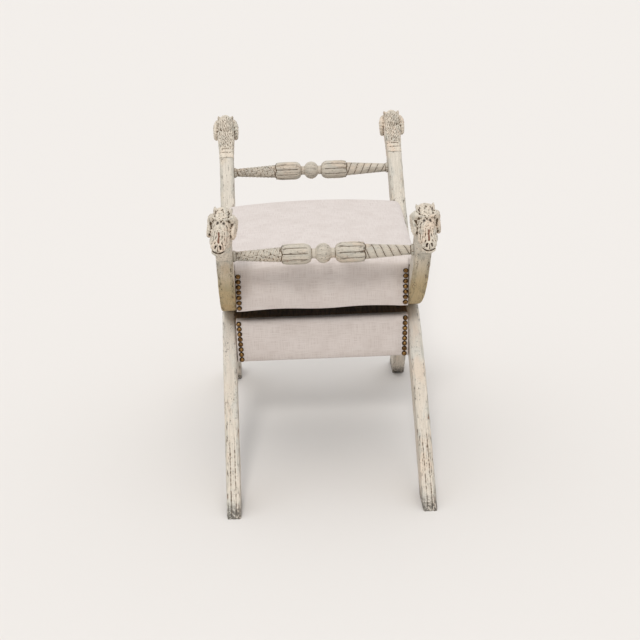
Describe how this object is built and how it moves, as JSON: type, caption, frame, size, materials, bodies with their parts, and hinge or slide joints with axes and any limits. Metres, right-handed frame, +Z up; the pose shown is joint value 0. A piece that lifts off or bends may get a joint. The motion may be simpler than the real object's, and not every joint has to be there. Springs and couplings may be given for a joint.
{
  "type": "upholstered bench",
  "caption": "Curule bench with crossed curved side frames, carved rams' heads on the arm ends, turned cross rails, a crowned linen seat and a nailed linen apron box",
  "frame": {"origin": "on the floor, under the centre of the bench", "axes": "+X across the bench to the right side frame, +Y along the bench to its far end, +Z up"},
  "size_m": [0.3724, 0.781, 0.5182],
  "materials": {
    "aged_paint": "worn ivory paint over wood, rubbed back at the edges, matt",
    "frame_wood": "bare sawn beech",
    "linen": "plain-woven oatmeal linen",
    "curled_hair": "curled hair pad under wadding",
    "jute": "woven jute",
    "black_cambric": "thin black dust cloth",
    "nail_bronze": "antique bronze, rubbed bright on the domes",
    "screw_steel": "plain steel"
  },
  "bodies": {
    "root": {"arm_left_near": "aged_paint", "arm_left_far": "aged_paint", "arm_right_near": "aged_paint", "arm_right_far": "aged_paint", "leg_left_near": "aged_paint", "leg_left_far": "aged_paint", "leg_right_near": "aged_paint", "leg_right_far": "aged_paint", "ram_head_left_near": "aged_paint", "ram_head_left_far": "aged_paint", "ram_head_right_near": "aged_paint", "ram_head_right_far": "aged_paint", "cross_rail_near": "aged_paint", "cross_rail_far": "aged_paint", "frame_tongues": "frame_wood", "hub_dowels": "frame_wood", "seat_rail_left": "frame_wood", "seat_rail_right": "frame_wood", "end_rail_near": "frame_wood", "end_rail_far": "frame_wood", "corner_blocks": "frame_wood", "side_fillet_left": "frame_wood", "side_fillet_right": "frame_wood", "end_rail_dowels": "frame_wood", "seat_screws": "screw_steel", "webbing_cross": "jute", "webbing_long": "jute", "hessian_sheet": "jute", "seat_pad": "curled_hair", "seat_cover": "linen", "side_border_left": "linen", "side_border_right": "linen", "end_panel_near": "linen", "end_panel_far": "linen", "seat_dust_cover": "black_cambric", "apron_board_near": "frame_wood", "apron_board_far": "frame_wood", "apron_top": "frame_wood", "apron_dowels": "frame_wood", "apron_panel_near": "linen", "apron_panel_far": "linen", "apron_dust_cover": "black_cambric", "end_nails_near": "nail_bronze", "end_nails_far": "nail_bronze", "apron_nails_near": "nail_bronze", "apron_nails_far": "nail_bronze", "side_nails_left": "nail_bronze", "side_nails_right": "nail_bronze"}
  },
  "joints": []
}
